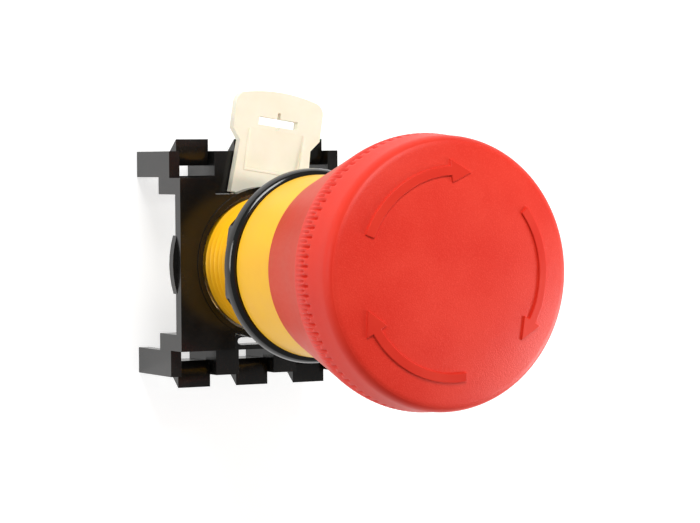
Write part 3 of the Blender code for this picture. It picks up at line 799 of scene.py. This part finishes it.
@dataclass
class MushroomHead:
    """Red head: cap with a domed face and a grooved flank, three turning arrows, skirt and stem."""

    rib_count: int = 90
    samples_per_rib: int = 8
    groove_depth: float = 0.45
    groove_top: float = 7.3        # below the crown
    second_depth: float = 0.32
    second_top: float = 8.5
    groove_foot: float = 11.2
    face_drop: float = 1.47
    shoulder: float = 1.8          # width of the soft shoulder round the face
    cap_wall: float = 2.2
    hub_radius: float = 6.5
    arrow_radius: float = 14.6
    arrow_width: float = 1.35
    arrow_head_width: float = 3.4
    arrow_head_deg: float = 13.0
    arrow_sweep_deg: float = 79.0
    arrow_tip_deg: float = 78.6
    arrow_raise: float = 0.3
    arrow_count: int = 3
    radius: float = field(init=False)
    crown: float = field(init=False)
    foot: float = field(init=False)

    def __post_init__(self) -> None:
        """Read the head's place from the CAD."""
        low, high = box_mm("mushroom_cap")
        self.radius, self.crown, self.foot = high.x, high.z, low.z

    @property
    def seam(self) -> float:
        """Height where the cap sits on the skirt."""
        return self.crown - 11.7

    def build(self) -> None:
        """Build and dress the whole head."""
        self.build_cap()
        self.build_arrows()
        self.build_skirt()
        self.build_stem()

    def face_line(self) -> list[Point]:
        """Domed face from its edge to its middle."""
        edge = self.radius - self.shoulder
        shares = [1 - i / 20 for i in range(21)]
        return [(edge * share, self.crown - self.face_drop * share**3) for share in shares]

    def cap_line(self) -> list[Point]:
        """Outer line of the cap from the seam over the shoulder to the middle of the face."""
        r = self.radius
        flank = [
            (r - 0.47, self.seam),
            (r - 0.16, self.seam + 1.2),
            (r + 0.03, self.seam + 2.9),
            (r - 0.16, self.seam + 4.9),
            (r - 0.35, self.seam + 7.0),
            (r - 0.4, self.seam + 8.4),
        ]
        edge_r, edge_z = self.face_line()[0]
        slope = 3 * self.face_drop / edge_r
        corner = (r - 0.55, edge_z - slope * (r - 0.55 - edge_r))
        shoulder = soft_curve([flank[-1], corner, (edge_r, edge_z)], 16)[1:-1]
        return soft_curve(flank, 6) + shoulder + self.face_line()

    def build_cap(self) -> None:
        """Cap with its hub, grooved flank and grained face."""
        inner = self.radius - self.cap_wall
        roof = self.crown - self.face_drop - self.cap_wall
        bore, bore_top = 4.3, box_mm("stem")[1].z + 0.3
        outline = self.cap_line()
        outline += [
            (0, bore_top),
            (bore, bore_top),
            (bore, self.foot),
            (self.hub_radius, self.foot),
            (self.hub_radius, roof + 0.8),
            (inner - 1.5, roof),
            (inner, roof - 1.5),
            (inner, self.seam),
        ]
        cap = traced("red_cap", [Vector((r, 0, z)) for r, z in outline])
        rib = FULL_TURN / self.rib_count
        edited(
            cap,
            lambda: bpy.ops.mesh.spin(
                steps=self.samples_per_rib, angle=rib, center=(0, 0, 0), axis=(0, 0, 1)
            ),
        )
        self.cut_groove(cap, self.groove_top, self.groove_depth, 0.0)
        self.cut_groove(cap, self.second_top, self.second_depth, 0.5)
        edited(
            cap,
            lambda: bpy.ops.mesh.spin(
                steps=self.rib_count - 1,
                dupli=True,
                angle=FULL_TURN - rib,
                center=(0, 0, 0),
                axis=(0, 0, 1),
            ),
        )
        merged(cap)
        cap.data.materials.append(SMOOTH_RED_ABS.material())
        cap.data.materials.append(SPARKED_RED_ABS.material())
        face_height = (self.crown - self.face_drop - 0.35) * MM
        for polygon in cap.data.polygons:
            polygon.material_index = int(polygon.center.z > face_height)
        smoothed(cap, 50)
        deliver(cap, "button_head", SMOOTH_RED_ABS, ["mushroom_cap"])

    def cut_groove(self, sector: bpy.types.Object, top: float, depth: float, place: float) -> None:
        """Sink one groove of the flank, deepest at its abrupt upper end and run out at its foot.

        Args:
            sector: One pitch of the cap.
            top: Distance of the groove's upper end below the crown.
            depth: Its greatest depth.
            place: Place of its middle as a share of the pitch.
        """
        outer = (self.radius - 0.9) * MM
        heights = sorted({round(v.co.z / MM, 3) for v in sector.data.vertices if v.co.xy.length > outer})
        for height in heights:
            down = self.crown - height
            run = (self.groove_foot - down) / (self.groove_foot - top)
            if down < top - 0.12 or run <= 0:
                continue
            for away, share in ((0.0, 1.0), (0.125, 0.45)):
                factor = 1 - depth * share * min(1.0, run + 0.15) / self.radius

                def on_groove(vertex: bpy.types.MeshVertex) -> bool:
                    """Whether a corner lies at this height and distance from the groove's middle.

                    Args:
                        vertex: Corner to test.

                    Returns:
                        True if it is pulled in.
                    """
                    turn = math.atan2(vertex.co.y, vertex.co.x) / FULL_TURN * self.rib_count - place
                    gap = abs((turn + 0.5) % 1.0 - 0.5)
                    level = abs(vertex.co.z / MM - height) < 0.002
                    return level and vertex.co.xy.length > outer and abs(gap - away) < 0.03

                moved(
                    sector,
                    on_groove,
                    lambda: bpy.ops.transform.resize(
                        value=(factor, factor, 1), center_override=(0, 0, 0)
                    ),
                )

    def build_arrows(self) -> None:
        """Three raised clockwise arrows that follow the dome, with softly broken edges."""
        r, half, head = self.arrow_radius, self.arrow_width / 2, self.arrow_head_width / 2
        neck = self.arrow_tip_deg + self.arrow_head_deg
        tail = self.arrow_tip_deg + self.arrow_sweep_deg
        outline = [polar(r, self.arrow_tip_deg), polar(r + head, neck)]
        outline += arc(r + half, neck, tail, 24)
        outline += arc(r - half, tail, neck, 24)
        outline.append(polar(r - head, neck))
        arrow = raised("turning_arrow_1", outline, self.crown - 4, self.crown + 2)
        face = self.face_line()
        cover = [(radius, height + self.arrow_raise) for radius, height in face]
        cover += [(radius, height - 0.3) for radius, height in reversed(face)]
        joined(arrow, turned("face_cover", cover, 180), "INTERSECT")
        flat = math.radians(3)
        edited(arrow, lambda: bpy.ops.mesh.dissolve_limited(angle_limit=flat, delimit={"NORMAL"}))
        bevelled(arrow, 0.15, 2, 50)
        smoothed(arrow, 35)
        for number in range(2, self.arrow_count + 1):
            twin = copied(arrow, f"turning_arrow_{number}")
            turned_about(twin, 360 / self.arrow_count * (number - 1))
            deliver(twin, "button_head", SMOOTH_RED_ABS)
        deliver(arrow, "button_head", SMOOTH_RED_ABS)

    def build_skirt(self) -> None:
        """Conical skirt with a rounded lower lip, which slides over the bezel."""
        low, high = box_mm("cap_skirt")
        bezel = box_mm("bezel_barrel")[1].x
        bore, spigot = bezel + 0.35, self.radius - self.cap_wall - 0.3
        lip, web = bore + 0.4, high.z - 9.4
        outline = [
            (bore, low.z + 0.12),
            (bore + 0.12, low.z),
            (lip - 0.12, low.z),
            (lip, low.z + 0.12),
            (self.radius - 0.49, self.seam - 0.03),
            (spigot, self.seam - 0.03),
            (spigot, high.z - 0.3),
            (spigot - 0.3, high.z),
            (spigot - 1.4, high.z),
            (spigot - 1.4, web),
            (5.35, web),
            (5.35, web - 1.5),
            (bore, web - 1.5),
        ]
        skirt = turned("red_skirt", outline, 180)
        smoothed(skirt, 40)
        deliver(skirt, "button_head", DULL_RED_ABS, ["cap_skirt"])

    def build_stem(self) -> None:
        """Stem with broken edges; the cross pin and the clip keep their shape."""
        stem = smoothed(bevelled(cad_copy("stem", "grey_stem"), 0.12), 40)
        deliver(stem, "button_head", GREY_ACETAL, ["stem"])
        clip = smoothed(bevelled(cad_copy("stem_clip", "steel_clip"), 0.08), 40)
        deliver(clip, "button_head", SPRING_STEEL, ["stem_clip"])
        dress("cap_pin", SPRING_STEEL)


# --- Yellow bezel and what clamps it -------------------------------------------------------------


@dataclass
class BezelAndBarrel:
    """Yellow bezel with its threaded barrel, rubber gasket, washer and octagonal nut."""

    thread_radius: float = 10.9
    thread_depth: float = 0.6
    thread_pitch: float = 1.5
    thread_top: float = -1.0
    thread_bottom: float = -15.2
    bore: float = 8.8
    neck: float = 9.6
    cup_floor: float = 9.0
    wall: float = 1.6
    nut_flat_deg: float = 176.5
    nut_sides: int = 8
    lug_half_deg: float = 13.0
    lug_thickness: float = 1.7

    def build(self) -> None:
        """Build and dress the bezel, gasket, washer and nut."""
        self.build_barrel()
        self.build_gasket()
        self.build_nut()
        washer = smoothed(bevelled(cad_copy("thrust_washer", "steel_washer"), 0.1), 40)
        deliver(washer, "washer", SPRING_STEEL, ["thrust_washer"])

    def build_barrel(self) -> None:
        """Bezel and barrel in one moulding, with a helical thread and two lugs."""
        low, high = box_mm("bezel_barrel")
        seat = box_mm("panel_gasket")[1].z + 0.3
        plate_front = -15.6
        root = self.thread_radius - self.thread_depth
        outline = [
            (self.bore, low.z),
            (self.neck, low.z),
            (self.neck, plate_front - 1.9),
            (root + 0.2, plate_front - 1.8),
            (root, plate_front + 0.2),
            (root, seat),
            (high.x, seat),
            (high.x, high.z),
            (high.x - self.wall, high.z),
            (high.x - self.wall, self.cup_floor),
            (self.bore, self.cup_floor),
        ]
        barrel = bevelled(turned("yellow_bezel_barrel", outline, 144), 0.25, 3, 40)
        joined(barrel, self.make_thread(root), "UNION")
        lug_top = low.z + 0.7 + self.lug_thickness
        for middle in (0.0, 180.0):
            start, end = middle - self.lug_half_deg, middle + self.lug_half_deg
            sector = arc(self.thread_radius, start, end, 8) + arc(self.neck - 0.4, end, start, 8)
            lug = bevelled(raised("lug", sector, lug_top - self.lug_thickness, lug_top), 0.15)
            joined(barrel, lug, "UNION")
        smoothed(barrel, 38)
        deliver(barrel, "housing", YELLOW_POLYAMIDE, ["bezel_barrel"])

    def make_thread(self, root: float) -> bpy.types.Object:
        """Screw one tooth of the thread up the barrel and trim both ends flat.

        Args:
            root: Radius at the thread's root in millimetres.

        Returns:
            The helical ridge as a closed solid.
        """
        pitch = self.thread_pitch
        turns = math.ceil((self.thread_top - self.thread_bottom) / pitch) + 1
        start = self.thread_bottom - pitch / 2
        tooth = [
            (root - 0.4, start - 0.42 * pitch),
            (root - 0.02, start - 0.42 * pitch),
            (self.thread_radius - 0.1, start - 0.12 * pitch),
            (self.thread_radius, start),
            (self.thread_radius - 0.1, start + 0.12 * pitch),
            (root - 0.02, start + 0.42 * pitch),
            (root - 0.4, start + 0.42 * pitch),
        ]
        ridge = traced("thread_ridge", [Vector((r, 0, z)) for r, z in tooth], filled=True)
        modified(
            ridge,
            "SCREW",
            axis="Z",
            angle=FULL_TURN,
            screw_offset=pitch * MM,
            iterations=turns,
            steps=72,
            render_steps=72,
            use_merge_vertices=False,
        )
        merged(ridge)
        low, high = self.thread_bottom, self.thread_top
        outline = [(0, low), (self.thread_radius + 1, low), (self.thread_radius + 1, high), (0, high)]
        return joined(ridge, turned("trim", outline, 32), "INTERSECT")

    def build_gasket(self) -> None:
        """Rubber ring whose front edge is rounded, so that it catches a long highlight."""
        low, high = box_mm("panel_gasket")
        inner, outer, top = 10.65, high.x, high.z
        outline = [(inner, low.z), (outer - 0.15, low.z)]
        outline += soft_curve([(outer, low.z + 0.1), (outer, top), (outer - 1.2, top)], 10)
        outline.append((inner, top))
        gasket = smoothed(turned("rubber_gasket", outline, 160), 40)
        deliver(gasket, "housing", NITRILE_RUBBER, ["panel_gasket"])

    def build_nut(self) -> None:
        """Octagonal nut with a chamfer round each face."""
        low, high = box_mm("panel_nut")
        half = 180 / self.nut_sides
        bore = self.thread_radius + 0.3
        corner = (bore + 1.8) / math.cos(math.radians(half))
        outline = [polar(corner, self.nut_flat_deg + half + i * 2 * half) for i in range(self.nut_sides)]
        nut = raised("panel_nut_black", outline, low.z, high.z)
        middle = (low.z + high.z) / 2
        reach = high.z - middle
        tumble = [
            (0, middle - reach),
            (corner - 0.75, middle - reach),
            (corner - 0.1, middle - reach + 0.4),
            (corner - 0.1, middle + reach - 0.4),
            (corner - 0.75, middle + reach),
            (0, middle + reach),
        ]
        joined(nut, turned("tumble", tumble, 96), "INTERSECT")
        hole = [(0, low.z - 1), (bore, low.z - 1), (bore, high.z + 1), (0, high.z + 1)]
        joined(nut, turned("hole", hole, 96), "DIFFERENCE")
        smoothed(nut, 20)
        deliver(nut, "nut", GLASS_FILLED_BLACK, ["panel_nut"])


# --- Block holder and locking lever --------------------------------------------------------------


@dataclass
class BlockHolder:
    """Black holder for three contact blocks and the cream lever that locks it to the barrel."""

    lever_rest_deg: float = -8.7
    slot_radius: float = 22.4
    slot_height: float = 1.3
    panel_width: float = 9.4
    panel_bottom: float = 14.6
    panel_top: float = 21.0
    panel_depth: float = 0.4
    rim_width: float = 0.4
    rim_height: float = 0.1

    def build(self) -> None:
        """Build and dress the holder and the lever."""
        self.build_frame()
        self.build_lever()

    def build_frame(self) -> None:
        """Holder with its edges broken, so that each catches a thin line of light."""
        frame = bevelled(cad_copy("adapter_frame", "black_block_holder"), 0.18)
        smoothed(frame, 35)
        deliver(frame, "housing", GLASS_FILLED_BLACK, ["adapter_frame"])

    def build_lever(self) -> None:
        """Lever with rounded edges, a notched slot and a rim round its sunken panel."""
        low, high = box_mm("locking_lever")
        lever = cad_copy("locking_lever", "cream_locking_lever")
        turned_about(lever, -self.lever_rest_deg)
        for notch in self.slot_notches(low.z, high.z):
            joined(lever, notch, "DIFFERENCE")
        bevelled(lever, 0.3, 3, 50)
        joined(lever, self.panel_rim(high.z), "UNION")
        joined(lever, self.panel_ramp(high.z), "UNION")
        turned_about(lever, self.lever_rest_deg)
        smoothed(lever, 40)
        deliver(lever, "lever", CREAM_ACETAL, ["locking_lever"])

    def slot_notches(self, low: float, high: float) -> list[bpy.types.Object]:
        """Cutters for the small notches above and below the slot's middle.

        Args:
            low: Rear face of the lever.
            high: Front face of the lever.

        Returns:
            The closed cutters.
        """
        above = self.slot_radius + self.slot_height / 2
        below = self.slot_radius - self.slot_height / 2
        tall = [(-0.35, above - 0.3), (0.35, above - 0.3), (0.25, above + 0.95), (-0.25, above + 0.95)]
        short = [(-0.35, below + 0.3), (-0.3, below - 0.45), (0.3, below - 0.45), (0.35, below + 0.3)]
        return [
            raised("notch_above", tall, low - 1, high + 1),
            raised("notch_below", short, low - 1, high + 1),
        ]

    def panel_ramp(self, front: float) -> bpy.types.Object:
        """Wedge that makes the sunken panel run out towards the slot.

        Args:
            front: Front face of the lever.

        Returns:
            The wedge as a closed solid.
        """
        half = self.panel_width / 2 + 0.05
        floor = front - self.panel_depth
        corners = [
            Vector((-half, self.panel_bottom + 0.3, floor - 0.1)),
            Vector((-half, self.panel_top + 0.2, floor - 0.1)),
            Vector((-half, self.panel_top + 0.2, front - 0.02)),
            Vector((-half, self.panel_bottom + 0.3, floor + 0.02)),
        ]
        wedge = traced("panel_ramp", corners, filled=True)
        across = {"value": (2 * half * MM, 0, 0)}
        edited(wedge, lambda: bpy.ops.mesh.extrude_region_move(TRANSFORM_OT_translate=across))
        return merged(wedge)

    def panel_rim(self, front: float) -> bpy.types.Object:
        """Low rim along the sides and foot of the lever's sunken panel.

        Args:
            front: Front face of the lever.

        Returns:
            The rim as a closed solid with rounded edges.
        """
        half, wide = self.panel_width / 2, self.rim_width
        low, high = self.panel_bottom, self.panel_top
        outline = [
            (-half - wide, high),
            (-half - wide, low - wide),
            (half + wide, low - wide),
            (half + wide, high),
            (half, high),
            (half, low),
            (-half, low),
            (-half, high),
        ]
        rim = raised("panel_rim", outline, front - 0.3, front + self.rim_height)
        return bevelled(rim, 0.08)


# --- Inside the barrel ---------------------------------------------------------------------------


@dataclass
class InnerWorks:
    """Bearings, seal, latch and springs inside the barrel, and the pusher at its end."""

    wire_sides: int = 12
    steps_per_turn: int = 40
    return_turns: int = 5
    stroke: float = 4.5

    def build(self) -> None:
        """Build and dress everything inside the barrel."""
        for node, finish in (
            ("guide_bush", GREY_ACETAL),
            ("lip_seal", NITRILE_RUBBER),
            ("retaining_ring", SPRING_STEEL),
            ("torsion_spring", SPRING_STEEL),
            ("latch_carrier", GLASS_FILLED_BLACK),
            ("latch_pin_left", SPRING_STEEL),
            ("latch_pin_right", SPRING_STEEL),
            ("latch_spring", SPRING_STEEL),
        ):
            dress(node, finish)
        self.build_return_spring()
        bush = smoothed(bevelled(cad_copy("lower_bush", "black_lower_bush"), 0.2), 40)
        deliver(bush, "housing", GLASS_FILLED_BLACK, ["lower_bush"])
        pusher = smoothed(bevelled(cad_copy("actuator", "white_pusher"), 0.15), 40)
        deliver(pusher, "plunger", WHITE_ACETAL, ["actuator"])

    def build_return_spring(self) -> None:
        """Round-wire return spring. The real one shortens as the head is pressed; this one rides on the
        housing at one length.
        """
        low, high = box_mm("return_spring")
        wire = 0.45
        middle = high.x - wire
        height = high.z - low.z - 2 * wire
        ring = [polar(wire, 360 * i / self.wire_sides) for i in range(self.wire_sides)]
        corners = [Vector((middle + x, 0, low.z + wire + z)) for x, z in ring]
        spring = traced("steel_return_spring", corners, filled=True)
        modified(
            spring,
            "SCREW",
            axis="Z",
            angle=FULL_TURN,
            screw_offset=height / self.return_turns * MM,
            iterations=self.return_turns,
            steps=self.steps_per_turn,
            render_steps=self.steps_per_turn,
            use_merge_vertices=False,
        )
        merged(spring)
        smoothed(spring, 60)
        deliver(spring, "housing", SPRING_STEEL, ["return_spring"])
        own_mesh(spring)


# --- Studio --------------------------------------------------------------------------------------


@dataclass
class Studio:
    """Pale floor, soft lights and the camera."""

    eye: tuple[float, float, float] = (-202.16, 15.95, 388.63)
    right: tuple[float, float, float] = (0.88078, -0.00746, 0.47347)
    up: tuple[float, float, float] = (0.02314, 0.99936, -0.02731)
    lens: float = 146.57
    floor_size: float = 6000.0
    floor_gap: float = 0.02
    floor_glow: float = 0.65
    sky: float = 0.25

    def build(self) -> None:
        """Build the floor, the lights and the camera."""
        self.build_floor()
        self.build_lights()
        self.build_camera()

    def build_floor(self) -> None:
        """White paper under the holder's fins."""
        fresh()
        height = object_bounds()[0].z - self.floor_gap * MM
        bpy.ops.mesh.primitive_plane_add(size=self.floor_size * MM, location=(0, 0, height))
        floor = bpy.context.object
        floor.name = "paper_floor"
        floor.data.transform(floor.matrix_world)
        floor.matrix_world = Matrix.Identity(4)
        paper = PAPER.material()
        shader = paper.node_tree.nodes["Principled BSDF"]
        shader.inputs["Emission Color"].default_value = linear("#ffffff")
        shader.inputs["Emission Strength"].default_value = self.floor_glow
        floor.data.materials.append(paper)
        floor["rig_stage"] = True

    def build_lights(self) -> None:
        """Soft boxes round the object and an even white surround."""
        world = bpy.data.worlds.new("surround")
        world.use_nodes = True
        background = world.node_tree.nodes["Background"]
        background.inputs["Color"].default_value = linear("#ffffff")
        background.inputs["Strength"].default_value = self.sky
        bpy.context.scene.world = world
        self.add_light("soft_box_top", (-60, 400, 400), 260, 2.6)
        self.add_light("soft_box_left", (-480, 70, 45), 200, 0.75)
        self.add_light("soft_box_right", (420, -160, 210), 150, 1.5)
        self.add_light("soft_box_rim", (480, -190, 40), 150, 0.9)

    def add_light(self, name: str, place: tuple[float, float, float], size: float, power: float) -> None:
        """Add one square soft box that faces the object.

        Args:
            name: Name of the light.
            place: Its middle in millimetres.
            size: Its side in millimetres.
            power: Its power in watts.
        """
        data = bpy.data.lights.new(name, "AREA")
        data.energy = power
        data.size = size * MM
        light = bpy.data.objects.new(name, data)
        light.location = Vector(place) * MM
        light.rotation_euler = (-light.location).to_track_quat("-Z", "Y").to_euler()
        bpy.context.scene.collection.objects.link(light)

    def build_camera(self) -> None:
        """Camera above and to the left of the head, looking down the axis at a slant."""
        data = bpy.data.cameras.new("view")
        data.lens = self.lens
        data.sensor_width = 36.0
        data.clip_start, data.clip_end = 0.01, 20.0
        camera = bpy.data.objects.new("view", data)
        right, up = Vector(self.right), Vector(self.up)
        turn = Matrix((right, up, right.cross(up))).transposed().to_4x4()
        camera.matrix_world = Matrix.Translation(Vector(self.eye) * MM) @ turn
        bpy.context.scene.collection.objects.link(camera)
        bpy.context.scene.camera = camera
        bpy.context.scene.view_settings.view_transform = "Standard"


def main() -> None:
    """Build every sub-assembly in order."""
    logging.basicConfig(level=logging.INFO, format="%(message)s", stream=sys.stdout)
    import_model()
    for assembly in (MushroomHead(), BezelAndBarrel(), BlockHolder(), InnerWorks(), Studio()):
        LOG.info("building %s", type(assembly).__name__)
        assembly.build()


if __name__ == "__main__":
    main()
